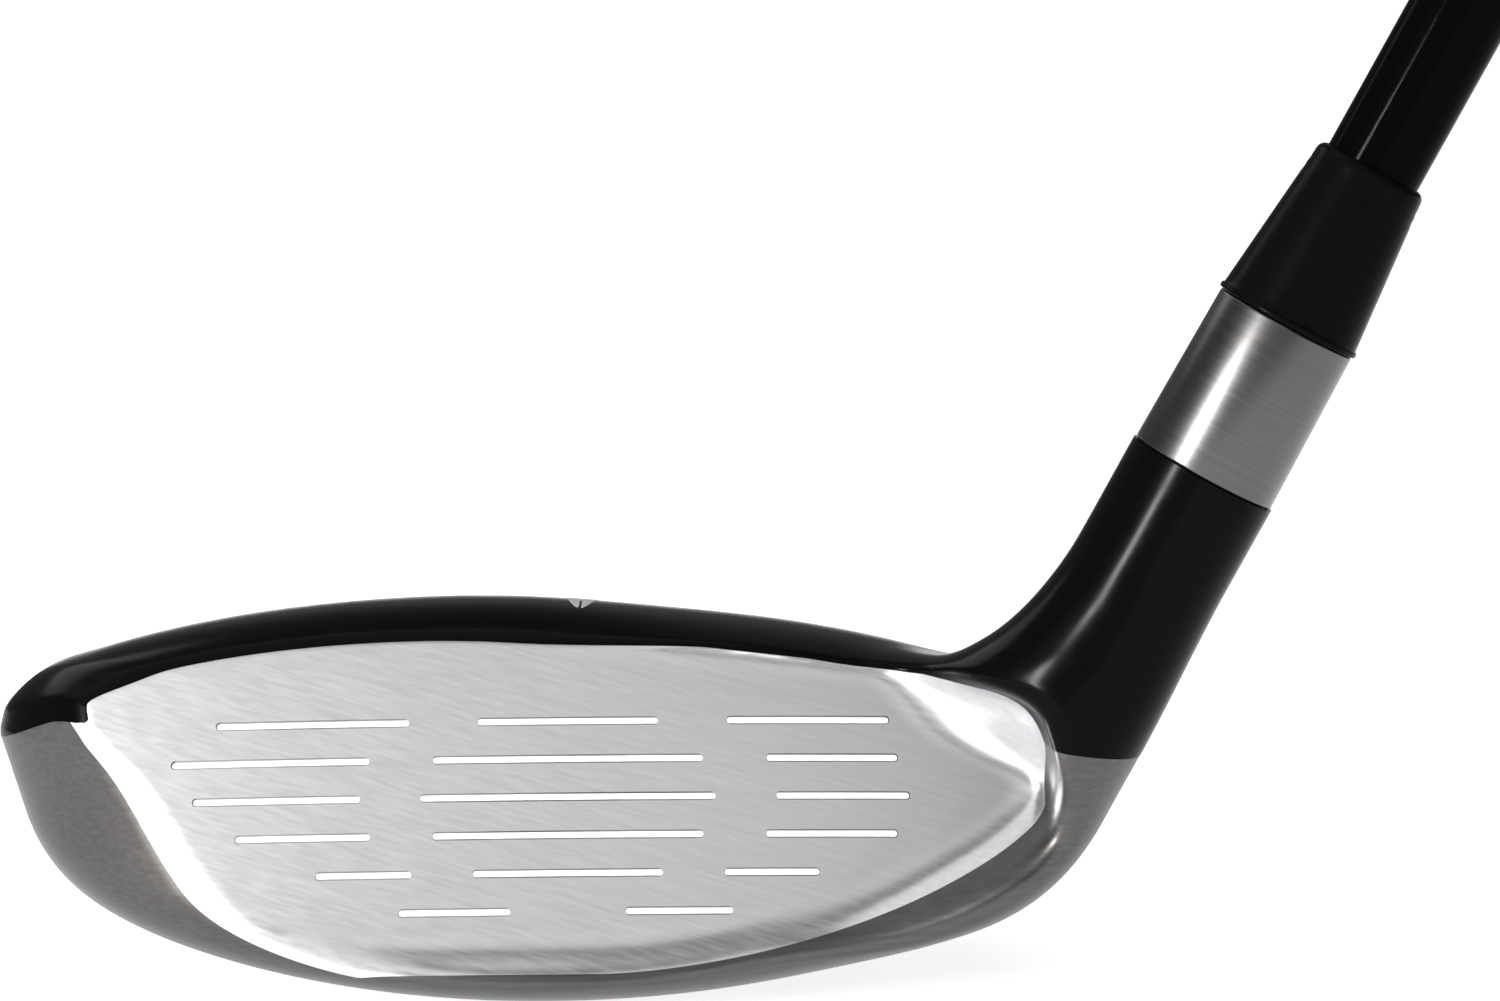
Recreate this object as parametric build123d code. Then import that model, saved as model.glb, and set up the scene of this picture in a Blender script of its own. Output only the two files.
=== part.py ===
from build123d import *
import os
from math import cos, hypot, pi, radians, sin, tan

# A hybrid golf club, right-handed, standing at address on level ground.
# Millimetres and degrees. +Z is up and the origin is where the shaft's axis
# meets the ground. +X runs to the heel, and the face looks along -Y.

# The whole club
LIE = 61.0
LOFT = 22.0
CLUB_LENGTH = 1016.0

# Head seen from above: four quarter superellipses about one centre
HEAD_X = -36.0
HEAD_Y = 16.0
TOE_REACH = 53.0
HEEL_REACH = 48.2
BACK_REACH = 34.0
FRONT_REACH = 25.0
BACK_POWER = 2.2
FRONT_POWER = 2.5
FRONT_TOE_POWER = 1.96
OUTLINE_POINTS = 24

# Seam between crown and body, and the skirt that drafts in below it
SEAM_TOE_Z = 25.6
SEAM_FALL = 0.0125
SKIRT_DRAFT = 17.0
SKIRT_BASE_Z = -6.0
SKIRT_TOP_Z = 40.0
SOLE_EDGE_RADIUS = 6.5

# Crown and sole, as radii of curvature about their highest and lowest points
CROWN_TOP = 37.4
CROWN_X = -40.0
CROWN_Y = 15.0
CROWN_RADIUS_X = 155.0
CROWN_RADIUS_BACK = 50.0
CROWN_FRONT_DROP = 3.4
CROWN_FRONT_POWER = 2.3
RIM_SLOPE = 1.9
RIM_BLEND = 7.0
SOLE_X = -34.2
SOLE_Y = 10.4
SOLE_RADIUS_X = 130.0
SOLE_RADIUS_BACK = 62.0
SOLE_RADIUS_FRONT = 75.0

# Grid that the crown and sole sheets are drawn through
SHEET_X = (-96.0, 30.0)
SHEET_Y = (-20.0, 58.0)
SHEET_STEP = 6.0
SHEET_REACH = 90.0

# Metal thickness
BODY_GAUGE = 1.5
FACE_GAUGE = 2.2
FACE_FLANGE = 2.8
NECK_CORE_RADIUS = 11.0

# Face: a bulged surface leaning back by the loft
FACE_X = -34.0
FACE_Z = 18.0
LEADING_EDGE_Y = -7.2
LEADING_EDGE_Z = 3.0
FACE_RADIUS = 480.0
FACE_HEEL_FILLET = 5.0
FACE_HEEL_LINE = (
    (-4.0, 44.0), (0.5, 35.5), (9.6, 30.8), (14.2, 24.3), (12.1, 18.3),
    (6.3, 13.6), (-4.4, 8.9), (-19.5, 5.4), (-40.0, 0.0), (-58.0, -8.0),
)
FACE_CUT_DEPTH = 60.0
FACE_OUTER_CORNERS = ((-110.0, -8.0), (-110.0, 60.0), (-4.0, 60.0))
PLATE_HEEL_X = -16.0
PLATE_HEEL_RADIUS = 21.0

# Score lines. Each row: half the centre line, then the inner end of both
# side lines, the toe line's outer end and the heel line's outer end.
SCORE_CENTRE_X = -32.0
SCORE_TOP_Z = 27.4
SCORE_PITCH = 3.71
SCORE_WIDTH = 0.85
SCORE_DEPTH = 0.45
PAINT_SINK = 0.06
SCORE_ROWS = (
    (8.7, 15.3, 33.5, 30.6),
    (13.0, 19.1, 37.8, 31.4),
    (14.2, 20.0, 35.7, 32.5),
    (13.0, 19.0, 31.5, 31.3),
    (9.1, 15.0, 23.7, 23.7),
    (0.0, 5.5, 15.9, 15.4),
)

# Alignment mark inlaid in the crown
MARK_X = -31.5
MARK_TIP_Y = 12.9
MARK_BACK_Y = 23.8
MARK_WING_Y = 20.7
MARK_WING = 1.65
MARK_GAP = 0.12
MARK_DEPTH = 0.2

# Heel, neck and hosel, as radii and heights along the shaft's axis
HEEL_RADIUS = 8.5
HEEL_CENTRE_T = 17.8
NECK_RADIUS = 7.4
NECK_STRAIGHT_T = 34.0
NECK_TOP_T = 58.6
FLARE_START_T = 26.0
FLARE_END_T = 46.0
FLARE_REACH = 12.0
FLARE_TURN = 150.0
FLARE_SINK = 0.15
FLARE_FOCUS = 1.5
FLARE_SWEEP = 3
FLARE_SECTIONS = 6
FLARE_POINTS = 16
TUBE_RADIUS = 6.2
TUBE_BASE_T = 32.0
COLLAR_RADIUS = 7.25
COLLAR_TOP_T = 75.0
COLLAR_CHAMFER = 0.3
BORE_RADIUS = 4.85
BORE_FLOOR_T = 36.0
BORE_PLUG_HEIGHT = 2.0
SHAFT_TIP_T = 39.0

# Ferrule
FERRULE_LIP_RADIUS = 7.32
FERRULE_LIP_HEIGHT = 0.9
FERRULE_BASE_RADIUS = 7.1
FERRULE_TOP_RADIUS = 5.6
FERRULE_TOP_T = 91.7
FERRULE_ROUND = 0.9
FERRULE_RING_DEPTH = 0.08
FERRULE_RING_PITCH = 1.1
FERRULE_RINGS = 2

# Shaft
TIP_RADIUS = 4.75
TIP_PARALLEL_T = 180.0
BUTT_RADIUS = 7.6
BUTT_PARALLEL_T = 740.0
TIP_WALL = 1.6
BUTT_WALL = 1.1
SHAFT_END_T = 1012.0
TIP_WEIGHT_LENGTH = 22.0
TIP_PLUG_LENGTH = 12.0

# Grip
GRIP_LENGTH = 267.0
GRIP_MOUTH_RADIUS = 9.9
GRIP_MOUTH_EASE = 0.7
GRIP_BUTT_RADIUS = 13.2
TAPE_THICKNESS = 0.2
TAPE_INSET = 4.0
CAP_RADIUS = 13.5
CAP_ROUND = 1.4
VENT_RADIUS = 1.5

# Weights inside the head
REAR_PAD_X = -40.0
REAR_PAD_Y = 34.0
REAR_PAD_RADIUS = 11.0
REAR_PAD_TOP_Z = 10.5
MELT_PAD_X = -64.0
MELT_PAD_Y = 16.0
MELT_PAD_Z = 6.0
MELT_PAD_RADIUS = 9.0

SHAFT_LINE = Plane(
    origin=(0, 0, 0),
    x_dir=(sin(radians(LIE)), 0, -cos(radians(LIE))),
    z_dir=(cos(radians(LIE)), 0, sin(radians(LIE))),
)
FACE_LINE = Plane(
    origin=(FACE_X, LEADING_EDGE_Y + (FACE_Z - LEADING_EDGE_Z) * tan(radians(LOFT)), FACE_Z),
    x_dir=(1, 0, 0),
    z_dir=(0, -cos(radians(LOFT)), sin(radians(LOFT))),
)


def seam_height(x):
    """Height of the seam plane at x."""
    return SEAM_TOE_Z - SEAM_FALL * (x - HEAD_X + TOE_REACH)


def crown_height(x, y):
    """Height of the crown's dome."""
    along = (x - CROWN_X) ** 2 / (2 * CROWN_RADIUS_X)
    reach = y - CROWN_Y
    if reach > 0:
        return CROWN_TOP - along - reach**2 / (2 * CROWN_RADIUS_BACK)
    return CROWN_TOP - along - CROWN_FRONT_DROP * (-reach / 10) ** CROWN_FRONT_POWER


def sole_height(x, y):
    """Height of the cambered sole."""
    reach = y - SOLE_Y
    radius = SOLE_RADIUS_BACK if reach > 0 else SOLE_RADIUS_FRONT
    return (x - SOLE_X) ** 2 / (2 * SOLE_RADIUS_X) + reach**2 / (2 * radius)


def quarter(dx, dy, gauge, draft=0.0):
    """Half-width, half-depth and power of the outline's quarter at dx, dy."""
    half_width = (TOE_REACH if dx < 0 else HEEL_REACH) - gauge - draft
    if dy > 0:
        return half_width, BACK_REACH - gauge - draft, BACK_POWER
    return half_width, FRONT_REACH - gauge, FRONT_TOE_POWER if dx < 0 else FRONT_POWER


def outline_wire(z, gauge):
    """The head's plan outline at height z, gauge inside the outer wall."""
    draft = (SEAM_TOE_Z - z) * tan(radians(SKIRT_DRAFT))
    points = []
    for step in range(OUTLINE_POINTS):
        across = cos(2 * pi * step / OUTLINE_POINTS)
        deep = sin(2 * pi * step / OUTLINE_POINTS)
        half_width, half_depth, power = quarter(across, deep, gauge, draft)
        size = (abs(across) ** power + abs(deep) ** power) ** (-1 / power)
        points.append((HEAD_X + half_width * size * across, HEAD_Y + half_depth * size * deep, z))
    return Wire(Spline(*points, periodic=True))


def edge_distance(x, y, gauge):
    """Distance from a plan point in to the outline, negative outside it."""
    half_width, half_depth, power = quarter(x - HEAD_X, y - HEAD_Y, gauge)
    across = max(abs(x - HEAD_X) / half_width, 1e-6)
    deep = max(abs(y - HEAD_Y) / half_depth, 1e-6)
    size = (across**power + deep**power) ** (1 / power)
    slope = hypot((across / size) ** (power - 1) / half_width, (deep / size) ** (power - 1) / half_depth)
    return (1 - size) / slope


def blended_lower(first, second, blend):
    """The lower of two heights, rounded where they cross."""
    share = min(1.0, max(0.0, 0.5 + 0.5 * (second - first) / blend))
    return second + (first - second) * share - blend * share * (1 - share)


def crown_sheet_height(x, y, gauge):
    """The dome, rolled down to the seam around the rim."""
    rim = seam_height(x) + RIM_SLOPE * edge_distance(x, y, gauge)
    return blended_lower(crown_height(x, y) - gauge, rim, RIM_BLEND)


def grid_values(span):
    """Evenly stepped values over a span."""
    count = int((span[1] - span[0]) / SHEET_STEP)
    return [span[0] + SHEET_STEP * step for step in range(count + 1)]


def sheet(height):
    """A smooth sheet through the heights given by a function of x and y."""
    rows = [[Vector(x, y, height(x, y)) for y in grid_values(SHEET_Y)] for x in grid_values(SHEET_X)]
    return Face.make_surface_from_array_of_points(rows, tol=0.02)


def below_crown(gauge):
    """Everything under the crown sheet."""
    crown = sheet(lambda x, y: crown_sheet_height(x, y, gauge))
    return extrude(crown, amount=SHEET_REACH, dir=(0, 0, -1))


def above_sole(gauge):
    """Everything over the sole sheet."""
    sole = sheet(lambda x, y: sole_height(x, y) + gauge)
    return extrude(sole, amount=SHEET_REACH, dir=(0, 0, 1))


def head_blank(gauge):
    """The head's bulk without neck or face, gauge inside the outer skin."""
    base = outline_wire(SKIRT_BASE_Z, gauge)
    top = outline_wire(SKIRT_TOP_Z, gauge)
    bulk = Part() + Solid.make_loft([base, top], ruled=True)
    bulk = bulk & below_crown(gauge) & above_sole(gauge)
    sole_edge = bulk.edges().sort_by(lambda edge: edge.length)[-2]
    return fillet(sole_edge, SOLE_EDGE_RADIUS - gauge)


def turned(outline):
    """Turn a closed (radius, height) outline about the shaft's axis."""
    upright = revolve(make_face(Plane.XZ * outline), Axis.Z)
    return SHAFT_LINE.location * upright


def turned_ring(*points):
    """Turn a straight-sided (radius, height) outline about the shaft's axis."""
    return turned(Polyline(*points, close=True))


def heel_and_neck():
    """The rounded heel and the round neck above it."""
    low = HEEL_CENTRE_T - HEEL_RADIUS
    bend = HEEL_RADIUS * sin(radians(45))
    side = (HEEL_RADIUS, HEEL_CENTRE_T)
    straight = (NECK_RADIUS, NECK_STRAIGHT_T)
    outline = Curve() + ThreePointArc((0, low), (bend, HEEL_CENTRE_T - bend), side)
    outline += Spline(side, straight, tangents=((0, 1), (0, 1)))
    outline += Polyline(straight, (NECK_RADIUS, NECK_TOP_T), (0, NECK_TOP_T), (0, low))
    return turned(outline)


def flare_section(height):
    """A section across the neck, drawn out toward the toe and back of the head."""
    drop = (FLARE_END_T - height) / (FLARE_END_T - FLARE_START_T)
    points = []
    for step in range(FLARE_POINTS):
        turn = 2 * pi * step / FLARE_POINTS
        share = ((1 + cos(turn - radians(FLARE_TURN))) / 2) ** FLARE_FOCUS
        radius = NECK_RADIUS - FLARE_SINK + FLARE_REACH * drop**FLARE_SWEEP * share
        points.append((radius * cos(turn), radius * sin(turn), height))
    return Wire(Spline(*points, periodic=True))


def neck_flare():
    """The sweep of metal that runs from the neck into the crown."""
    span = FLARE_END_T - FLARE_START_T
    heights = [FLARE_START_T + span * step / (FLARE_SECTIONS - 1) for step in range(FLARE_SECTIONS)]
    return SHAFT_LINE.location * (Part() + Solid.make_loft([flare_section(height) for height in heights]))


def face_point(x, z):
    """A point of the face at x and height z, in the face's own plane."""
    return x - FACE_X, (z - FACE_Z) / cos(radians(LOFT))


def face_ball(depth):
    """The ball whose front is the surface at this depth behind the face."""
    centre = FACE_LINE.from_local_coords(Vector(0, 0, -FACE_RADIUS))
    return Pos(centre.X, centre.Y, centre.Z) * Sphere(FACE_RADIUS - depth)


def face_cutter():
    """What is cut away in front of the face, up to the lip around the heel."""
    curve = Spline(*[face_point(x, z) for x, z in FACE_HEEL_LINE])
    far = [face_point(x, z) for x, z in FACE_OUTER_CORNERS]
    rest = Polyline(curve @ 1, *far, curve @ 0)
    prism = extrude(FACE_LINE * make_face(Curve() + curve + rest), amount=FACE_CUT_DEPTH, both=True)
    cutter = prism - face_ball(0)
    floor_edges = cutter.faces().filter_by(GeomType.SPHERE)[0].edges()
    heel_edge = floor_edges.sort_by(Axis.X)[-1]
    return fillet(heel_edge, FACE_HEEL_FILLET)


def plate_area():
    """The area of the welded face insert, drawn right through the head."""
    heel_x = PLATE_HEEL_X - FACE_X
    flat = Rectangle(2 * SHEET_REACH, 4 * PLATE_HEEL_RADIUS, align=(Align.MAX, Align.CENTER))
    area = Pos(heel_x, 0) * (flat + Circle(PLATE_HEEL_RADIUS))
    return extrude(FACE_LINE * area, amount=SHEET_REACH / 2, both=True)


def score_spans():
    """Each score line as (left end, right end, height) about the pattern's centre."""
    spans = []
    for row, (centre, inner, toe, heel) in enumerate(SCORE_ROWS):
        height = row * -SCORE_PITCH
        if centre:
            spans.append((-centre, centre, height))
        spans.append((-toe, -inner, height))
        spans.append((inner, heel, height))
    return spans


def score_prisms():
    """Round-ended bars through the face along every score line, down to the groove floors."""
    _, top = face_point(SCORE_CENTRE_X, SCORE_TOP_Z)
    bars = Sketch()
    for left, right, height in score_spans():
        centre = SCORE_CENTRE_X - FACE_X + (left + right) / 2
        bars += Pos(centre, top + height) * SlotOverall(right - left, SCORE_WIDTH)
    return extrude(FACE_LINE * bars, amount=FACE_GAUGE, both=True) - face_ball(SCORE_DEPTH)


def alignment_arms():
    """Two upright wedges, the halves of an arrowhead that points at the middle of the face."""
    arms = Sketch()
    for side in (-1, 1):
        tip = (MARK_X + side * MARK_GAP, MARK_TIP_Y)
        back = (MARK_X + side * MARK_GAP, MARK_BACK_Y)
        wing = (MARK_X + side * MARK_WING, MARK_WING_Y)
        arms += make_face(Polyline(tip, back, wing, close=True))
    return extrude(arms, amount=SHEET_REACH)


def upright_post(x, y, radius, height):
    """A round upright post from below the head to a height."""
    return Pos(x, y, -1) * Cylinder(radius, height + 1, align=(Align.CENTER, Align.CENTER, Align.MIN))


def hosel_tube():
    """The hosel: a tube down through the neck, with its bare collar on top."""
    edge = COLLAR_RADIUS - COLLAR_CHAMFER
    return turned_ring(
        (0, TUBE_BASE_T),
        (TUBE_RADIUS, TUBE_BASE_T),
        (TUBE_RADIUS, NECK_TOP_T),
        (edge, NECK_TOP_T),
        (COLLAR_RADIUS, NECK_TOP_T + COLLAR_CHAMFER),
        (COLLAR_RADIUS, COLLAR_TOP_T - COLLAR_CHAMFER),
        (edge, COLLAR_TOP_T),
        (BORE_RADIUS, COLLAR_TOP_T),
        (BORE_RADIUS, BORE_FLOOR_T),
        (0, BORE_FLOOR_T),
    )


def plain_sleeve(inner, outer, low, high):
    """A plain tube about the shaft's axis, or a rod where the inner radius is 0."""
    return turned_ring((inner, low), (outer, low), (outer, high), (inner, high))


def ferrule():
    """The ferrule: a lip at its base, a plain taper, turned rings and a rounded top."""
    lip_top = COLLAR_TOP_T + FERRULE_LIP_HEIGHT
    shoulder = FERRULE_TOP_T - FERRULE_ROUND
    body = turned_ring(
        (TIP_RADIUS, COLLAR_TOP_T),
        (FERRULE_LIP_RADIUS, COLLAR_TOP_T),
        (FERRULE_LIP_RADIUS, lip_top),
        (FERRULE_BASE_RADIUS, lip_top),
        (FERRULE_TOP_RADIUS, shoulder),
        (FERRULE_TOP_RADIUS - FERRULE_ROUND, FERRULE_TOP_T),
        (TIP_RADIUS, FERRULE_TOP_T),
    )
    for ring in range(FERRULE_RINGS):
        middle = shoulder - (ring + 1) * FERRULE_RING_PITCH
        slope = (FERRULE_BASE_RADIUS - FERRULE_TOP_RADIUS) / (shoulder - lip_top)
        skin = FERRULE_TOP_RADIUS + slope * (shoulder - middle)
        body -= turned_ring(
            (skin - FERRULE_RING_DEPTH, middle),
            (skin + FERRULE_RING_PITCH, middle - FERRULE_RING_PITCH / 2),
            (skin + FERRULE_RING_PITCH, middle + FERRULE_RING_PITCH / 2),
        )
    return body


def shaft():
    """The hollow tapered shaft, parallel at the tip and at the butt."""
    return turned_ring(
        (TIP_RADIUS, SHAFT_TIP_T),
        (TIP_RADIUS, TIP_PARALLEL_T),
        (BUTT_RADIUS, BUTT_PARALLEL_T),
        (BUTT_RADIUS, SHAFT_END_T),
        (BUTT_RADIUS - BUTT_WALL, SHAFT_END_T),
        (BUTT_RADIUS - BUTT_WALL, BUTT_PARALLEL_T),
        (TIP_RADIUS - TIP_WALL, TIP_PARALLEL_T),
        (TIP_RADIUS - TIP_WALL, SHAFT_TIP_T),
    )


def tip_weight():
    """A flanged pin in the shaft's tip that sets the swing weight."""
    flange_base = BORE_FLOOR_T + BORE_PLUG_HEIGHT
    pin = TIP_RADIUS - TIP_WALL
    pin_top = SHAFT_TIP_T + TIP_WEIGHT_LENGTH
    return turned_ring(
        (0, flange_base),
        (TIP_RADIUS, flange_base),
        (TIP_RADIUS, SHAFT_TIP_T),
        (pin, SHAFT_TIP_T),
        (pin, pin_top - pin),
        (0, pin_top),
    )


def grip_sleeve():
    """The moulded grip, tapering from the butt down to its mouth."""
    mouth = CLUB_LENGTH - GRIP_LENGTH
    bore = BUTT_RADIUS + TAPE_THICKNESS
    return turned_ring(
        (bore, mouth),
        (GRIP_MOUTH_RADIUS - GRIP_MOUTH_EASE, mouth),
        (GRIP_MOUTH_RADIUS, mouth + GRIP_MOUTH_EASE),
        (GRIP_BUTT_RADIUS, SHAFT_END_T),
        (bore, SHAFT_END_T),
    )


def grip_cap():
    """The end cap, with the vent hole through its middle."""
    flat = CLUB_LENGTH - CAP_ROUND
    outline = Curve() + Polyline(
        (CAP_RADIUS - CAP_ROUND, CLUB_LENGTH), (VENT_RADIUS, CLUB_LENGTH),
        (VENT_RADIUS, SHAFT_END_T), (CAP_RADIUS, SHAFT_END_T), (CAP_RADIUS, flat),
    )
    outline += CenterArc((CAP_RADIUS - CAP_ROUND, flat), CAP_ROUND, 0, 90)
    return turned(outline)


def head_parts():
    """The head's shells, face, marks and inner weights."""
    outer = head_blank(0) + heel_and_neck() + neck_flare() - face_cutter()
    neck_core = plain_sleeve(0, NECK_CORE_RADIUS, 0, NECK_TOP_T)
    cavity = (head_blank(BODY_GAUGE) - neck_core) & face_ball(FACE_GAUGE)
    hollow = outer - cavity
    front = plate_area() - face_ball(FACE_FLANGE)
    bars = score_prisms()
    mark = (alignment_arms() & outer & face_ball(FACE_FLANGE)) - below_crown(MARK_DEPTH)
    tube_hole = plain_sleeve(0, TUBE_RADIUS, TUBE_BASE_T, NECK_TOP_T)
    shell = hollow - front - tube_hole
    seam = Plane(origin=(HEAD_X - TOE_REACH, 0, SEAM_TOE_Z), z_dir=(SEAM_FALL, 0, 1))
    rear_post = upright_post(REAR_PAD_X, REAR_PAD_Y, REAR_PAD_RADIUS, REAR_PAD_TOP_Z)
    return {
        "crown_shell": split(shell, seam, Keep.TOP) - mark,
        "sole_shell": split(shell, seam, Keep.BOTTOM),
        "face_plate": (hollow & front) - bars,
        "score_line_paint": bars & face_ball(PAINT_SINK),
        "alignment_mark": mark,
        "rear_weight_pad": cavity & rear_post,
        "hot_melt_pad": cavity & Pos(MELT_PAD_X, MELT_PAD_Y, MELT_PAD_Z) * Sphere(MELT_PAD_RADIUS),
    }


def hosel_and_shaft_parts():
    """Everything threaded on the shaft's axis from the heel to the grip."""
    plug_top = BORE_FLOOR_T + BORE_PLUG_HEIGHT
    pin = TIP_RADIUS - TIP_WALL
    tip_plug_base = SHAFT_TIP_T + TIP_WEIGHT_LENGTH
    tape_base = CLUB_LENGTH - GRIP_LENGTH + TAPE_INSET
    return {
        "hosel_tube": hosel_tube(),
        "bore_plug": plain_sleeve(0, BORE_RADIUS, BORE_FLOOR_T, plug_top),
        "epoxy_bond": plain_sleeve(TIP_RADIUS, BORE_RADIUS, plug_top, COLLAR_TOP_T),
        "ferrule": ferrule(),
        "shaft": shaft(),
        "tip_weight": tip_weight(),
        "shaft_tip_plug": plain_sleeve(0, pin, tip_plug_base, tip_plug_base + TIP_PLUG_LENGTH),
        "grip_tape": plain_sleeve(BUTT_RADIUS, BUTT_RADIUS + TAPE_THICKNESS, tape_base, SHAFT_END_T),
        "grip_sleeve": grip_sleeve(),
        "grip_cap": grip_cap(),
    }


os.makedirs("parts", exist_ok=True)
for name, solid in (head_parts() | hosel_and_shaft_parts()).items():
    export_step(solid, f"parts/{name}.step")
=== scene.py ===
from math import cos, pi, radians, sin, tan

import bpy
import numpy as np
from mathutils import Matrix, Vector


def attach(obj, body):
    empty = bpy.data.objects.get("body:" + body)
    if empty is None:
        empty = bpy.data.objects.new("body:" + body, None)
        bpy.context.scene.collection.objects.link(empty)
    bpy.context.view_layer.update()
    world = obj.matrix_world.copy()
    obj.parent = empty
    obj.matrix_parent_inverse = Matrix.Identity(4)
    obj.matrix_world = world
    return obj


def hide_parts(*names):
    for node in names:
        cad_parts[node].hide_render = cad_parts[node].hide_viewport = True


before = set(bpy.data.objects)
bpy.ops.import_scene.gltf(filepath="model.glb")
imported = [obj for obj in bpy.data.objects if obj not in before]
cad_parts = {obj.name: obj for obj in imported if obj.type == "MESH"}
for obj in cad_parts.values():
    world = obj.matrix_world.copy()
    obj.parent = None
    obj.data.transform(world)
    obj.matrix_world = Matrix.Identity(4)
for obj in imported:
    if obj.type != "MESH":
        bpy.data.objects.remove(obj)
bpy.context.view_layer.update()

# The looks of a hybrid golf club. The head is worked out in millimetres as
# smooth distance-like fields, whose zero surfaces are meshed and cut at the
# paint lines. The collar, ferrule and shaft are turned on a lathe about the
# shaft's axis. A name that ends in STEP says where a smooth step starts and
# how far it takes.

MM = 0.001
TINY = 1e-6
LIE = radians(61.0)
LOFT = radians(22.0)
AXIS = np.array([cos(LIE), 0.0, sin(LIE)])

# Head outline seen from above
HEAD_X = -36.0
HEAD_Y = 16.0
TOE_REACH = 53.28
HEEL_REACH = 48.27
BACK_REACH = 34.0
FRONT_REACH = 25.02
BACK_POWER = 2.2
FRONT_POWER = 2.517
FRONT_TOE_POWER = 1.962
TOE_FACET = 0.38
TOE_FACET_STEP = (6.0, 20.0)
DRAFT = radians(17.0)
CROWN_LEAN = radians(16.0)

# Seam between black crown and brushed body
WAIST_Z = 25.0
SEAM_TOE_Z = 27.3
SEAM_TOE_X = -80.0
SEAM_FALL = 0.0155
SEAM_DIP_X = -82.5
SEAM_DIP = 0.5
SEAM_DIP_SOFT = 1.0
SEAM_HEEL_X = 14.0
SEAM_HEEL_FALL = 0.17

# Crown
CROWN_TOP = 37.4
CROWN_X = -39.48
CROWN_Y = 14.3
CROWN_RADIUS_TOE = 204.55
CROWN_RADIUS_HEEL = 150.72
CROWN_RADIUS_BACK = 50.0
CROWN_TOE_DROP = 1.084
CROWN_TOE_SPAN = 40.0
CROWN_TOE_POWER = 4
CROWN_DIP = 0.55
CROWN_DIP_X = -24.0
CROWN_DIP_WIDE = 14.0
CROWN_FRONT_DROP = 3.343
CROWN_FRONT_SPAN = 10.0
CROWN_FRONT_POWER = 2.295
CROWN_HEEL_EASE = 0.6
CROWN_HEEL_STEP = (-38.0, 24.0)
RIM_ROUND = 4.358
RIM_RISE = 2.2
RIM_BLEND = 3.0
SHARPEST_RIM = 0.01

# Sole
SOLE_X = -34.24
SOLE_Y = 10.43
SOLE_RADIUS_TOE = 128.37
SOLE_RADIUS_HEEL = 131.94
SOLE_RADIUS_BACK = 62.0
SOLE_RADIUS_FRONT = 75.0
SOLE_ROUND = 5.84

# A height off the crown or the sole times its share is close to a distance
CROWN_SHARE = 0.93
SOLE_SHARE = 0.96

# Neck and heel
NECK_RADIUS = 7.4
HEEL_SWELL = 0.5
HEEL_SWELL_STEP = (50.0, -18.0)
NECK_BLEND = 12.5
CREASE_BLEND = 4.0
CREASE_STEP = (27.0, 8.0)
NECK_TOP_T = 58.6

# Face: the front of a ball
FACE_X = -34.0
FACE_Z = 18.0
LEADING_Y = -7.2
LEADING_Z = 3.0
FACE_Y = LEADING_Y + (FACE_Z - LEADING_Z) * tan(LOFT)
FACE_RADIUS = 480.0
FACE_CENTRE = (FACE_X, FACE_Y + FACE_RADIUS * cos(LOFT), FACE_Z - FACE_RADIUS * sin(LOFT))

# Groove and bank that bound the face at the heel
GROOVE_X = -29.5
GROOVE_Z = 22.75
GROOVE_WIDE = 44.8
GROOVE_DEEP = 17.3
GROOVE_POWER = 1.68
GROOVE_FAR = 60.0
BANK_WIDE = 1.7
BANK_DEEP = 2.0
BANK_STEP = (14.0, 9.0)
HOLLOW_LOW = 3.6
HOLLOW_RISE = 16.0
HOLLOW_STEP_Z = (20.0, 8.0)
HOLLOW_STEP_X = (-4.0, 14.0)

# Where paint and bare metal meet
PAINT_OVERLAP = 1.0
CORNER_ROUND = 3.0
PAINT_TOP_X = 0.0
PAINT_TOP_Z = 31.7
PAINT_TOP_FALL = 0.12
PAINT_HEEL_X = 13.35
PAINT_ROUND = 6.5
EDGE_PAINT = 0.35
EDGE_BARE = 0.6
# How far the light face steel runs up the heel's bank: a painted highlight along its ridge
BANK_HIGHLIGHT_WIDTH = 1.0
BANK_HIGHLIGHT_SLOPE = 0.4
BARE_TOP = 14.0
BARE_STEP = (20.0, 7.0)

# How round the edge of the cut is: along the top, at the heel, and below the seam
CRISP_ROUND = 0.6
CORNER_EASE = 1.0
CORNER_STEP = (-2.0, 8.0)
EDGE_ROUND = 0.5
EDGE_SPREAD = 1.1
SPREAD_STEP = (-64.0, 30.0)
RIDGE_ROUND = 2.4
RIDGE_STEP = (-15.0, 20.0)
BELOW_STEP = (0.0, 6.0)

# Score lines
SCORE_X = -32.5
SCORE_TOP_Z = 27.45
SCORE_PITCH = 3.71
SCORE_WIDTH = 0.85
SCORE_DEPTH = 0.4
SLOT_MARGIN = 0.9
SLOT_PITCH = 0.16
SLOT_PIECE = 1.5
SLOT_FLOOR_SINK = 0.2
SLOT_FLOOR_BASE = 0.7
SLOT_FLOOR_OVERLAP = 0.03
WHITE_WIDTH = 0.56
WHITE_SINK = 0.08
WHITE_BASE = 0.6

# Half the centre line, then inner end, toe end and heel end of the side lines
SCORE_ROWS = (
    (8.7, 15.3, 34.0, 31.0),
    (13.0, 19.1, 38.3, 31.8),
    (14.2, 20.0, 36.2, 32.9),
    (13.0, 19.0, 32.0, 31.7),
    (9.1, 15.0, 24.2, 24.1),
    (0.0, 5.5, 16.2, 15.8),
)

# Silver arrowhead on the crown
MARK_X = -31.5
MARK_TIP_Y = 12.9
MARK_BACK_Y = 24.0
MARK_SPREAD = 0.55
MARK_SWEEP = 2.0
MARK_GAP = 0.12
MARK_CELL = 0.2
MARK_LIFT = 0.09
MARK_DEPTH = 0.2
MARK_LOW = (MARK_X - 3.0, MARK_TIP_Y - 1.0, 30.0)
MARK_HIGH = (MARK_X + 3.0, MARK_BACK_Y + 1.0, 40.0)

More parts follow.
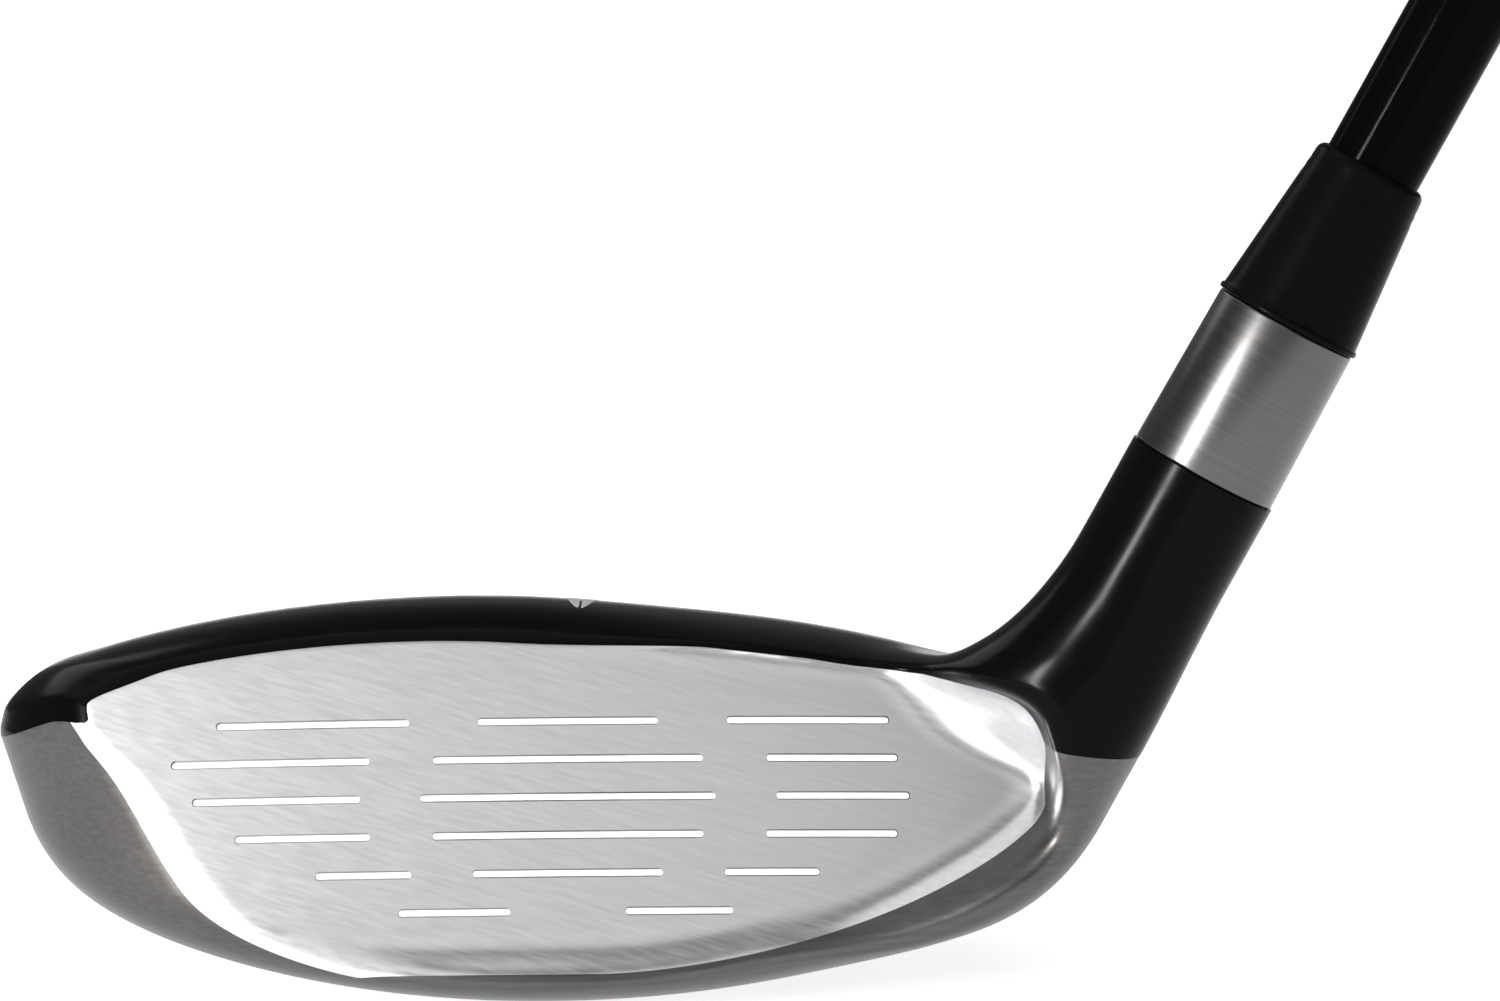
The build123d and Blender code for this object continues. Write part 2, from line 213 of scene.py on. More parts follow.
# Along the shaft's axis
COLLAR_RADIUS = 7.27
COLLAR_TOP_RADIUS = 7.0
COLLAR_TOP_T = 75.0
FERRULE_TOP_T = 91.7
FERRULE_RING = 0.035
TIP_RADIUS = 4.75
BUTT_RADIUS = 7.6
SHAFT_BORE = 3.0
SHAFT_START_T = 60.0
TIP_PARALLEL_T = 180.0
BUTT_PARALLEL_T = 740.0
SHAFT_END_T = 1010.0

# Meshing
HEAD_LOW = (-91.0, -11.0, -1.5)
HEAD_HIGH = (37.0, 53.0, 56.5)
CELL = 0.5
RELAX_PASSES = 3
RIM_PASSES = 4
RIM_MOVE = 0.1
SKIN = 1.0
CROWN_PAINT_LIFT = 0.05
THIN_PASSES = 6
THIN_SHARE = 0.6
CLOSEST_SHARE = 0.4
NEAR_SURFACE = 0.08
SAME_WAY = 0.8
SLIDE_IN = -4.0
SLIDE_OUT = 8.0
SLIDE_HALVINGS = 24

# Camera, looking at a point in the XZ plane
CAMERA_X = -14.70
CAMERA_Z = 49.07
CAMERA_DISTANCE = 500.0
CAMERA_ELEVATION = radians(8.0)
CAMERA_ROLL = radians(0.6)
CAMERA_LENS = 126.0
SENSOR_WIDTH = 36.0

# Studio, in metres
LIGHT_TARGET = Vector((0, 0, 0.05))
FLOOR_REACH = 6.0
FLOOR_DROP = 0.0003
FLOOR_GREY = 0.86
FLOOR_GLOW = 0.82
WORLD_GLOW = 0.15

# Each light's name, direction from the head, distance, width, height and surface brightness
LIGHTS = (
    ("overhead", (-0.3, -0.05, 1.0), 2.2, 2.4, 2.2, 0.8),
    ("front_top", (-0.36, -0.74, 0.58), 1.6, 2.3, 0.7, 0.63),
    ("left_box", (-0.68, -0.69, 0.25), 1.2, 0.12, 0.4, 108.0),
    ("front_low", (-0.2, -0.96, 0.17), 2.2, 2.4, 0.6, 0.3),
    ("back_left", (-0.55, 0.65, 0.55), 1.6, 0.8, 0.5, 1.5),
)

# Each hidden piece's material, dark and light colour, roughness, grain, relief, metallic and node
HIDDEN_LOOKS = (
    ("tip_brass", (0.62, 0.44, 0.18), (0.72, 0.54, 0.26), 0.3, 700.0, 0.00001, 1.0, "tip_weight"),
    ("cast_pad", (0.22, 0.22, 0.23), (0.34, 0.34, 0.35), 0.55, 500.0, 0.00008, 1.0, "rear_weight_pad"),
    ("amber_melt", (0.62, 0.48, 0.2), (0.8, 0.66, 0.35), 0.4, 220.0, 0.00006, 0.0, "hot_melt_pad"),
    ("cured_epoxy", (0.6, 0.46, 0.2), (0.75, 0.6, 0.3), 0.2, 260.0, 0.00002, 0.0, "epoxy_bond"),
    ("nylon", (0.74, 0.74, 0.68), (0.85, 0.85, 0.8), 0.45, 600.0, 0.00003, 0.0, "bore_plug"),
    ("plug_foam", (0.42, 0.38, 0.32), (0.58, 0.53, 0.45), 0.85, 1400.0, 0.0001, 0.0, "shaft_tip_plug"),
    ("paper_tape", (0.74, 0.7, 0.6), (0.84, 0.8, 0.7), 0.75, 1800.0, 0.00005, 0.0, "grip_tape"),
)


# ---------------------------------------------------------------- fields

def smooth_min(a, b, blend):
    """The smaller of two, rounded over where they come within blend."""
    share = np.clip(0.5 + 0.5 * (b - a) / blend, 0, 1)
    return b + (a - b) * share - blend * share * (1 - share)


def smooth_max(a, b, blend):
    """The larger of two, rounded over where they come within blend."""
    return -smooth_min(-a, -b, blend)


def soft_max(a, b, blend):
    """As smooth_max, but its curvature also starts and ends gently."""
    share = np.maximum(1 - np.abs(a - b) / blend, 0)
    return np.maximum(a, b) + blend * share**3 / 6


def ramp(value, start, span):
    """A smooth step from 0 at start to 1 at start plus span, which may be negative."""
    share = np.clip((value - start) / span, 0, 1)
    return share * share * (3 - 2 * share)


def seam_height(x):
    """Height of the line between the black crown and the bare body."""
    heel = np.maximum(x - SEAM_HEEL_X, 0)
    toe = SEAM_DIP_X - x
    dip = SEAM_DIP * (toe + np.sqrt(toe * toe + SEAM_DIP_SOFT**2)) / 2
    return SEAM_TOE_Z - SEAM_FALL * (x - SEAM_TOE_X) - dip - SEAM_HEEL_FALL * heel


def outline_distance(x, y, z):
    """Distance outside the plan outline, which drafts in below the seam."""
    draft = np.maximum(WAIST_Z - z, 0) * tan(DRAFT)
    dx, dy = x - HEAD_X, y - HEAD_Y
    wide = np.where(dx < 0, TOE_REACH, HEEL_REACH) - draft
    deep = np.where(dy > 0, BACK_REACH - draft, FRONT_REACH)
    toe_power = FRONT_TOE_POWER - TOE_FACET * ramp(z, *TOE_FACET_STEP)
    power = np.where(dy > 0, BACK_POWER, np.where(dx < 0, toe_power, FRONT_POWER))
    across = np.abs(dx) / wide + TINY
    along = np.abs(dy) / deep + TINY
    size = (across**power + along**power) ** (1 / power)
    slope = np.hypot((across / size) ** (power - 1) / wide, (along / size) ** (power - 1) / deep)
    return (size - 1) / slope


def crown_height(x, y):
    """Height of the crown, which stays above the seam."""
    dx, dy = x - CROWN_X, y - CROWN_Y
    radius = np.where(dx < 0, CROWN_RADIUS_TOE, CROWN_RADIUS_HEEL)
    toe = CROWN_TOE_DROP * np.maximum(-dx / CROWN_TOE_SPAN, 0) ** CROWN_TOE_POWER
    dip = CROWN_DIP * np.exp(-(((x - CROWN_DIP_X) / CROWN_DIP_WIDE) ** 2))
    along = dx * dx / (2 * radius) + toe + dip
    ease = 1 - CROWN_HEEL_EASE * ramp(x, *CROWN_HEEL_STEP)
    front = CROWN_FRONT_DROP * ease * (np.abs(dy) / CROWN_FRONT_SPAN) ** CROWN_FRONT_POWER
    dome = CROWN_TOP - along - np.where(dy > 0, dy * dy / (2 * CROWN_RADIUS_BACK), front)
    return smooth_max(dome, seam_height(x) + RIM_RISE, RIM_BLEND)


def sole_height(x, y):
    """Height of the curved sole above the ground."""
    dx, dy = x - SOLE_X, y - SOLE_Y
    wide = np.where(dx < 0, SOLE_RADIUS_TOE, SOLE_RADIUS_HEEL)
    deep = np.where(dy > 0, SOLE_RADIUS_BACK, SOLE_RADIUS_FRONT)
    return dx * dx / (2 * wide) + dy * dy / (2 * deep)


def along_axis(x, z):
    """How far up the shaft's axis a point lies."""
    return x * AXIS[0] + z * AXIS[2]


def neck(x, y, z):
    """The round neck, which swells toward the heel."""
    t = along_axis(x, z)
    swell = HEEL_SWELL * ramp(t, *HEEL_SWELL_STEP)
    return np.hypot(x * AXIS[2] - z * AXIS[0], y) - NECK_RADIUS - swell


def neck_blend(z):
    """Width of the blend between head and neck, wider in the crease on the crown."""
    return NECK_BLEND + CREASE_BLEND * ramp(z, *CREASE_STEP)


def upper_body(x, y, z):
    """Crown and neck."""
    over = z - seam_height(x)
    wall = outline_distance(x, y, z) * cos(DRAFT) + over * sin(CROWN_LEAN)
    dome = (z - crown_height(x, y)) * CROWN_SHARE
    blend = np.maximum(RIM_ROUND * ramp(over, 0, RIM_ROUND), SHARPEST_RIM)
    return smooth_min(smooth_max(wall, dome, blend), neck(x, y, z), neck_blend(z))


def lower_body(x, y, z):
    """Skirt, sole and heel."""
    wall = outline_distance(x, y, z) * cos(DRAFT)
    sole = (sole_height(x, y) - z) * SOLE_SHARE
    return smooth_max(smooth_min(wall, neck(x, y, z), neck_blend(z)), sole, SOLE_ROUND)


def in_front(x, y, z):
    """Distance in front of the bulged face."""
    cx, cy, cz = FACE_CENTRE
    return np.sqrt((x - cx) ** 2 + (y - cy) ** 2 + (z - cz) ** 2) - FACE_RADIUS


def past_heel_line(x, z):
    """Distance past the line that bounds the face at the heel."""
    across = np.maximum(x - GROOVE_X, 0) / GROOVE_WIDE + TINY
    down = np.maximum(GROOVE_Z - z, 0) / GROOVE_DEEP + TINY
    size = (across**GROOVE_POWER + down**GROOVE_POWER) ** (1 / GROOVE_POWER)
    slope = np.hypot(
        (across / size) ** (GROOVE_POWER - 1) / GROOVE_WIDE,
        (down / size) ** (GROOVE_POWER - 1) / GROOVE_DEEP,
    )
    low = (size - 1) / np.maximum(slope, 1 / GROOVE_FAR)
    return smooth_max(low, past_paint(x, z) - PAINT_OVERLAP, CORNER_ROUND)


def past_bank(x, z, front):
    """Distance past the sloping bank that rises out of the heel groove."""
    slope = 1 - np.exp(-np.maximum(front, 0) / BANK_DEEP)
    return past_heel_line(x, z) - BANK_WIDE * slope * (1 - ramp(z, *BANK_STEP))


def removed(x, y, z):
    """Negative where metal is cut away in front of the face."""
    front = in_front(x, y, z)
    hollow = HOLLOW_LOW + HOLLOW_RISE * ramp(z, *HOLLOW_STEP_Z) * ramp(x, *HOLLOW_STEP_X)
    return soft_max(-front, past_bank(x, z, front), hollow)


def whole_body(x, y, z):
    """The head before its face is cut."""
    return np.where(z > seam_height(x), upper_body(x, y, z), lower_body(x, y, z))


def head_metal(x, y, z):
    """The finished head: crisp along the top of the face, eased at the heel and below."""
    below_seam = ramp(seam_height(x) - z, *BELOW_STEP)
    above = CORNER_EASE * ramp(x, *CORNER_STEP)
    below = EDGE_ROUND + EDGE_SPREAD * ramp(x, *SPREAD_STEP) + RIDGE_ROUND * ramp(x, *RIDGE_STEP)
    blend = CRISP_ROUND + above + (below - above) * below_seam
    return smooth_max(whole_body(x, y, z), -removed(x, y, z), blend)


def past_paint(x, z):
    """Distance past the paint line that closes the bare face at the heel."""
    top = z - PAINT_TOP_Z + PAINT_TOP_FALL * (x - PAINT_TOP_X)
    return smooth_max(top, x - PAINT_HEEL_X, PAINT_ROUND)


def black_keep(x, y, z):
    """Negative where the head is painted black."""
    bare = np.maximum(past_paint(x, z), whole_body(x, y, z) + removed(x, y, z) + EDGE_PAINT)
    return np.maximum(seam_height(x) - z, -bare)


def crown_keep(x, y, z):
    """Negative on the paint of crown and neck, up to the collar."""
    return np.maximum(black_keep(x, y, z), along_axis(x, z) - NECK_TOP_T)


def on_face(x, y, z):
    """Negative on the bare face, which ends at its rounded edge; its light steel also runs part way up
    the heel's bank as a painted highlight along the ridge.
    """
    front = in_front(x, y, z)
    # The light steel's share of the bank is a painted highlight
    groove = past_heel_line(x, z) + BANK_HIGHLIGHT_SLOPE * front - BANK_HIGHLIGHT_WIDTH - BARE_TOP * ramp(z, *BARE_STEP)
    return np.maximum(np.maximum(-front - EDGE_BARE, groove), past_paint(x, z))


def face_keep(x, y, z):
    """Negative on the brushed face."""
    return np.maximum(-black_keep(x, y, z), on_face(x, y, z))


def sole_keep(x, y, z):
    """Negative on the satin sole, skirt and heel."""
    return np.maximum(-black_keep(x, y, z), -on_face(x, y, z))


# ---------------------------------------------------------------- meshing

def gradient(field, points, reach=0.02):
    """Central differences of a field at points."""
    slopes = []
    for axis in range(3):
        offset = np.zeros(3)
        offset[axis] = reach
        slopes.append(field(*(points + offset).T) - field(*(points - offset).T))
    return np.stack(slopes, 1) / (2 * reach)


def pull_onto(field, points, passes=3, limit=0.5):
    """Points moved onto the field's zero surface."""
    for _ in range(passes):
        slope = gradient(field, points)
        step = field(*points.T)[:, None] * slope / np.maximum((slope**2).sum(1), TINY)[:, None]
        size = np.linalg.norm(step, axis=1)[:, None]
        points = points - step * np.minimum(1, limit / np.maximum(size, TINY))
    return points


def surface_net(field, low, high, cell):
    """Points and triangles of the field's zero surface, evened out."""
    axes = [np.arange(a, b, cell) for a, b in zip(low, high)]
    value = field(*np.meshgrid(*axes, indexing="ij"))
    size = np.array(value.shape)
    stride = np.array([size[1] * size[2], size[2], 1])
    total = np.zeros((value.size, 3))
    count = np.zeros(value.size)
    quads = []
    for axis in range(3):
        near = np.take(value, np.arange(size[axis] - 1), axis)
        far = np.take(value, np.arange(1, size[axis]), axis)
        index = np.argwhere((near < 0) != (far < 0))
        here, there = near[tuple(index.T)], far[tuple(index.T)]
        point = index.astype(float)
        point[:, axis] += here / (here - there)
        side, other = (axis + 1) % 3, (axis + 2) % 3
        base = index @ stride
        ring = [base, base - stride[side], base - stride[side] - stride[other], base - stride[other]]
        for corner in ring:
            np.add.at(total, corner, point)
            np.add.at(count, corner, 1)
        quad = np.stack(ring, 1)
        quads.append(np.where((here < 0)[:, None], quad, quad[:, ::-1]))
    quads = np.concatenate(quads)
    used, quads = np.unique(quads, return_inverse=True)
    quads = quads.reshape(-1, 4)
    points = total[used] / count[used][:, None] * cell + np.array([a[0] for a in axes])
    points = pull_onto(field, points)
    ends = np.concatenate([quads[:, [0, 1]], quads[:, [1, 2]], quads[:, [2, 3]], quads[:, [3, 0]]])
    shares = np.bincount(ends[:, 0], minlength=len(points))[:, None]
    for _ in range(RELAX_PASSES):
        sums = [np.bincount(ends[:, 0], points[ends[:, 1], i], len(points)) for i in range(3)]
        near = np.stack(sums, 1) / np.maximum(shares, 1)
        points = pull_onto(field, (points + near) / 2, 2)
    return points, np.concatenate([quads[:, [0, 1, 2]], quads[:, [0, 2, 3]]])


def trim(points, triangles, value):
    """The part of a mesh where value is negative, cut along value = 0."""
    keep = value[triangles] < 0
    edges = {}
    cut_points = []

    def crossing(a, b):
        key = (min(a, b), max(a, b))
        if key not in edges:
            share = value[a] / (value[a] - value[b])
            edges[key] = len(points) + len(cut_points)
            cut_points.append(points[a] + (points[b] - points[a]) * share)
        return edges[key]

    whole = triangles[keep.all(1)]
    made = []
    for triangle, inside in zip(triangles, keep):
        if inside.sum() not in (1, 2):
            continue
        turn = int(np.argmax(inside)) if inside.sum() == 1 else (int(np.argmin(inside)) + 1) % 3
        a, b, c = np.roll(triangle, -turn)
        if inside.sum() == 1:
            made.append((a, crossing(a, b), crossing(c, a)))
        else:
            over_b, over_a = crossing(b, c), crossing(c, a)
            made.append((a, b, over_b))
            made.append((a, over_b, over_a))
    rim = np.arange(len(points), len(points) + len(cut_points))
    everything = np.concatenate([points, np.array(cut_points).reshape(-1, 3)])
    faces = np.concatenate([whole, np.array(made, int).reshape(-1, 3)])
    return everything, faces, rim


def compact(points, triangles):
    """Drops unused points and collapsed triangles."""
    a, b, c = triangles.T
    triangles = triangles[(a != b) & (b != c) & (c != a)]
    used, triangles = np.unique(triangles, return_inverse=True)
    return points[used], triangles.reshape(-1, 3)


def trim_exactly(points, triangles, field, keep):
    """Trims a mesh of field's surface where keep is negative, with its edge put on both zero surfaces."""
    points, triangles, rim = trim(points, triangles, keep(*points.T))
    for _ in range(RIM_PASSES):
        points[rim] = pull_onto(keep, points[rim], 1, RIM_MOVE)
        points[rim] = pull_onto(field, points[rim], 1, RIM_MOVE)
    return compact(points, triangles)


def boundary_edges(triangles):
    """Directed edges that only one triangle uses."""
    edges = np.concatenate([triangles[:, [0, 1]], triangles[:, [1, 2]], triangles[:, [2, 0]]])
    keys = np.sort(edges, 1)
    _, index, count = np.unique(keys, axis=0, return_index=True, return_counts=True)
    return edges[index[count == 1]]


def thicken(points, triangles, normals, depth):
    """A closed shell: the skin, its copy sunk by up to depth, and a rim between them.

    Where the copy would come too near the far side of the metal, it is sunk less.
    """
    rim = boundary_edges(triangles)
    total = len(points)
    a, b = rim.T
    walls = np.concatenate([np.stack([b, a, a + total], 1), np.stack([b, a + total, b + total], 1)])
    depths = np.full(total, depth)
    for _ in range(THIN_PASSES):
        sunk = points - normals * depths[:, None]
        too_near = head_metal(*sunk.T) > -CLOSEST_SHARE * depths
        depths = np.where(too_near, depths * THIN_SHARE, depths)
    both = np.concatenate([points, points - normals * depths[:, None]])
    return both, np.concatenate([triangles, triangles[:, ::-1] + total, walls])


def unit(vectors):
    return vectors / np.maximum(np.linalg.norm(vectors, axis=1), TINY)[:, None]


def joined(pieces):
    """One mesh from several pairs of points and faces."""
    points, faces, total = [], [], 0
    for piece_points, piece_faces in pieces:
        points.append(piece_points)
        faces.append(piece_faces + total)
        total += len(piece_points)
    return np.concatenate(points), np.concatenate(faces)


def new_object(name, points, faces, material, replaced=()):
    """A mesh object from points in millimetres and a list of faces, riding on the club."""
    mesh = bpy.data.meshes.new(name)
    mesh.from_pydata((np.asarray(points) * MM).tolist(), [], faces)
    mesh.update()
    mesh.materials.append(material)
    thing = bpy.data.objects.new(name, mesh)
    bpy.context.collection.objects.link(thing)
    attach(thing, "root")
    if replaced:
        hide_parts(*replaced)
    return thing


def smooth_by_field(thing, field):
    """Takes shading normals from the field wherever a face lies on its surface."""
    mesh = thing.data
    corners = np.empty(len(mesh.loops), int)
    mesh.loops.foreach_get("vertex_index", corners)
    points = np.empty(len(mesh.vertices) * 3)
    mesh.vertices.foreach_get("co", points)
    points = points.reshape(-1, 3) / MM
    face_normals = np.empty(len(mesh.polygons) * 3)
    mesh.polygons.foreach_get("normal", face_normals)
    loops_in_face = np.empty(len(mesh.polygons), int)
    mesh.polygons.foreach_get("loop_total", loops_in_face)
    flat = np.repeat(face_normals.reshape(-1, 3), loops_in_face, axis=0)
    slope = unit(gradient(field, points))[corners]
    near = np.abs(field(*points.T))[corners] < NEAR_SURFACE
    agrees = (slope * flat).sum(1) > SAME_WAY
    normals = np.where((near & agrees)[:, None], slope, flat)
    mesh.shade_smooth()
    mesh.normals_split_custom_set(normals.tolist())


# ---------------------------------------------------------------- materials

STROKE_SHAPE = (0.02, 0.6, 1.0)
STROKE_DETAIL = 2.0
NOISE_LOW = 0.3
NOISE_HIGH = 0.7


def new_material(name):
    """An empty material, with its nodes, links and shader."""
    material = bpy.data.materials.new(name)
    material.use_nodes = True
    nodes = material.node_tree.nodes
    shader = nodes["Principled BSDF"]
    return material, nodes, material.node_tree.links, shader


def object_vector(nodes):
    """Object coordinates, which stay with the piece."""
    return nodes.new("ShaderNodeTexCoord").outputs["Object"]


def shaft_vector(nodes, links):
    """Object coordinates turned so that Z runs along the shaft."""
    turn = nodes.new("ShaderNodeMapping")
    turn.inputs["Rotation"].default_value = (0, LIE - pi / 2, 0)
    links.new(object_vector(nodes), turn.inputs["Vector"])
    return turn.outputs["Vector"]


def noise(nodes, links, vector, scale, detail):
    """An even noise from about NOISE_LOW to NOISE_HIGH."""
    texture = nodes.new("ShaderNodeTexNoise")
    texture.inputs["Scale"].default_value = scale
    texture.inputs["Detail"].default_value = detail
    links.new(vector, texture.inputs["Vector"])
    return texture.outputs["Fac"]


def stretched_noise(nodes, links, vector, angle, scale):
    """Noise drawn out into strokes: angle turns them in the XZ plane."""
    turn = nodes.new("ShaderNodeMapping")
    turn.inputs["Rotation"].default_value = (0, angle, 0)
    links.new(vector, turn.inputs["Vector"])
    stretch = nodes.new("ShaderNodeMapping")
    stretch.inputs["Scale"].default_value = scale
    links.new(turn.outputs["Vector"], stretch.inputs["Vector"])
    return noise(nodes, links, stretch.outputs["Vector"], scale=1.0, detail=STROKE_DETAIL)


def uneven_gloss(nodes, links, shader, value, low, high):
    """Roughness from low to high, following a noise."""
    node = nodes.new("ShaderNodeMapRange")
    node.inputs["From Min"].default_value = NOISE_LOW
    node.inputs["From Max"].default_value = NOISE_HIGH
    node.inputs["To Min"].default_value = low
    node.inputs["To Max"].default_value = high
    links.new(value, node.inputs["Value"])
    links.new(node.outputs["Result"], shader.inputs["Roughness"])


def mottled(nodes, links, shader, value, dark, light):
    """Base colour from dark to light, following a noise."""
    node = nodes.new("ShaderNodeValToRGB")
    node.color_ramp.elements[0].position = NOISE_LOW
    node.color_ramp.elements[1].position = NOISE_HIGH
    node.color_ramp.elements[0].color = (*dark, 1)
    node.color_ramp.elements[1].color = (*light, 1)
    links.new(value, node.inputs["Fac"])
    links.new(node.outputs["Color"], shader.inputs["Base Color"])


def bumped(nodes, links, shader, value, distance, strength):
    """Fine relief, following a noise."""
    node = nodes.new("ShaderNodeBump")
    node.inputs["Distance"].default_value = distance
    node.inputs["Strength"].default_value = strength
    links.new(value, node.inputs["Height"])
    links.new(node.outputs["Normal"], shader.inputs["Normal"])


def brushed_metal(name, dark, light, roughness, angle, grain=2600.0):
    """Bare steel with fine strokes in one direction."""
    material, nodes, links, shader = new_material(name)
    scale = tuple(grain * share for share in STROKE_SHAPE)
    strokes = stretched_noise(nodes, links, object_vector(nodes), angle, scale)
    shader.inputs["Metallic"].default_value = 1.0
    mottled(nodes, links, shader, strokes, dark, light)
    uneven_gloss(nodes, links, shader, strokes, roughness - 0.015, roughness + 0.02)
    bumped(nodes, links, shader, strokes, distance=0.00002, strength=0.06)
    return material


def turned_metal(name, dark, light, roughness):
    """Bare steel with fine lines round the shaft's axis."""
    material, nodes, links, shader = new_material(name)
    lines = stretched_noise(nodes, links, shaft_vector(nodes, links), angle=0, scale=(40, 40, 3600))
    shader.inputs["Metallic"].default_value = 1.0
    mottled(nodes, links, shader, lines, dark, light)
    uneven_gloss(nodes, links, shader, lines, roughness - 0.02, roughness + 0.02)
    bumped(nodes, links, shader, lines, distance=0.00001, strength=0.15)
    return material


def gloss_black(name, colour, roughness, shine):
    """Black lacquer or polished plastic with a slight orange peel."""
    material, nodes, links, shader = new_material(name)
    peel = noise(nodes, links, object_vector(nodes), scale=420.0, detail=2.0)
    shader.inputs["Base Color"].default_value = (*colour, 1)
    shader.inputs["Specular IOR Level"].default_value = shine
    uneven_gloss(nodes, links, shader, peel, roughness - 0.02, roughness + 0.03)
    bumped(nodes, links, shader, peel, distance=0.00001, strength=0.4)
    return material


def plain_paint(name, dark, light, roughness):
    """Flat paint, very slightly mottled."""
    material, nodes, links, shader = new_material(name)
    specks = noise(nodes, links, object_vector(nodes), scale=900.0, detail=2.0)
    mottled(nodes, links, shader, specks, dark, light)
    shader.inputs["Roughness"].default_value = roughness
    return material


def grained(name, dark, light, roughness, grain, relief, metallic=0.0, spread=0.06, strength=0.5):
    """A moulded, cast, cured or woven look: mottled colour, uneven gloss and fine relief."""
    material, nodes, links, shader = new_material(name)
    specks = noise(nodes, links, object_vector(nodes), scale=grain, detail=4.0)
    shader.inputs["Metallic"].default_value = metallic
    mottled(nodes, links, shader, specks, dark, light)
    uneven_gloss(nodes, links, shader, specks, roughness - spread, roughness + spread)
    bumped(nodes, links, shader, specks, relief, strength)
    return material


def dress(material, *names):
    """Gives nodes carried over from the CAD their material."""
    for name in names:
        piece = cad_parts[name]
        piece.data.materials.clear()
        piece.data.materials.append(material)


# ---------------------------------------------------------------- head

def head_skin(name, field, keep, material, replaced, lift=0.0):
    """A thin shell over the part of the head where keep is negative."""
    points, triangles = surface_net(field, HEAD_LOW, HEAD_HIGH, CELL)
    points, triangles = trim_exactly(points, triangles, field, keep)
    normals = unit(gradient(field, points))
    points, faces = thicken(points + normals * lift, triangles, normals, SKIN)
    thing = new_object(name, points, faces.tolist(), material, replaced)
    smooth_by_field(thing, field)


def face_plane(across, up):
    """Points on the flat plane that touches the face, from places across and up it."""
    return np.stack([across, FACE_Y + up * sin(LOFT), FACE_Z + up * cos(LOFT)], -1)


def score_spans():
    """Each score line as left end, right end and height along the face."""
    top = (SCORE_TOP_Z - FACE_Z) / cos(LOFT)
    spans = []
    for row, (centre, inner, toe, heel) in enumerate(SCORE_ROWS):
        height = top - row * SCORE_PITCH
        if centre:
            spans.append((SCORE_X - centre, SCORE_X + centre, height))
        spans.append((SCORE_X - toe, SCORE_X - inner, height))
        spans.append((SCORE_X + inner, SCORE_X + heel, height))
    return spans


def slot_rim(left, right, height, radius, steps=12):
    """A round-ended slot's outline as (across, up) pairs, anticlockwise."""
    rim = []
    length = right - left - 2 * radius
    pieces = max(2, int(length / SLOT_PIECE))
    for step in range(pieces):
        rim.append((left + radius + length * step / pieces, height - radius))
    for step in range(steps + 1):
        turn = -pi / 2 + pi * step / steps
        rim.append((right - radius + radius * cos(turn), height + radius * sin(turn)))
    for step in range(1, pieces):
        rim.append((right - radius - length * step / pieces, height + radius))
    for step in range(steps + 1):
        turn = pi / 2 + pi * step / steps
        rim.append((left + radius + radius * cos(turn), height + radius * sin(turn)))
    return np.array(rim)


def bars(name, radius, low, high, material, replaced=()):
    """Round-ended bars along the score lines, between two distances from the face."""
    points, faces = [], []
    for left, right, height in score_spans():
        rim = face_plane(*slot_rim(left, right, height, radius).T)
        normals = unit(rim - FACE_CENTRE)
        base, count = len(points), len(rim)
        for level in (low, high):
            points.extend(FACE_CENTRE + normals * (FACE_RADIUS + level))
        faces.append([base + i for i in reversed(range(count))])
        faces.append([base + count + i for i in range(count)])
        for i in range(count):
            j = (i + 1) % count
            faces.append([base + i, base + j, base + count + j, base + count + i])
    new_object(name, points, faces, material, replaced)


def slot_distance(x, y, z):
    """Distance outside the nearest score line, measured along the face plane."""
    up = (y - FACE_Y) * sin(LOFT) + (z - FACE_Z) * cos(LOFT)
    nearest = np.full(x.shape, np.inf)
    radius = SCORE_WIDTH / 2
    for left, right, height in score_spans():
        beyond = x - np.clip(x, left + radius, right - radius)
        nearest = np.minimum(nearest, np.hypot(beyond, up - height))
    return nearest - radius


def face_rim_keep(x, y, z):
    """Negative on the face but for a margin round each score line."""
    return np.maximum(face_keep(x, y, z), SLOT_MARGIN - slot_distance(x, y, z))


def slot_margin_keep(x, y, z):
    """Negative on the margins round the score lines."""
    far = slot_distance(x, y, z)
    return np.maximum(far - SLOT_MARGIN, -far)


def margin_grid(left, right, height):
    """A fine square grid over one score line and its margin, laid on the face."""
    reach = SLOT_MARGIN + SCORE_WIDTH / 2 + SLOT_PITCH
    wide = np.arange(left - reach, right + reach, SLOT_PITCH)
    tall = np.arange(height - reach, height + reach, SLOT_PITCH)
    across, up = (grid.ravel() for grid in np.meshgrid(wide, tall, indexing="ij"))
    rows = len(tall)
    corner = (np.arange(len(wide) - 1)[:, None] * rows + np.arange(rows - 1)).ravel()
    first = np.stack([corner, corner + rows, corner + rows + 1], 1)
    second = np.stack([corner, corner + rows + 1, corner + 1], 1)
    return along_normal(face_plane(across, up)), np.concatenate([first, second])


def along_normal(points):
    """Points slid along the face plane's normal onto the metal."""
    outward = np.array([0, -cos(LOFT), sin(LOFT)])
    inside, outside = np.full(len(points), SLIDE_IN), np.full(len(points), SLIDE_OUT)
    for _ in range(SLIDE_HALVINGS):
        middle = (inside + outside) / 2
        free = head_metal(*(points + outward * middle[:, None]).T) > 0
        outside = np.where(free, middle, outside)
        inside = np.where(free, inside, middle)
    return points + outward * inside[:, None]


def build_score_margins(material):
    """Fine metal round every score line, with the slots cut through it."""
    pieces = []
    for span in score_spans():
        points, triangles = trim_exactly(*margin_grid(*span), head_metal, slot_margin_keep)
        pieces.append(thicken(points, triangles, unit(gradient(head_metal, points)), SCORE_DEPTH))
    points, faces = joined(pieces)
    replaced = ("face_plate",)
    thing = new_object("face_score_edges", points, faces.tolist(), material, replaced)
    smooth_by_field(thing, head_metal)


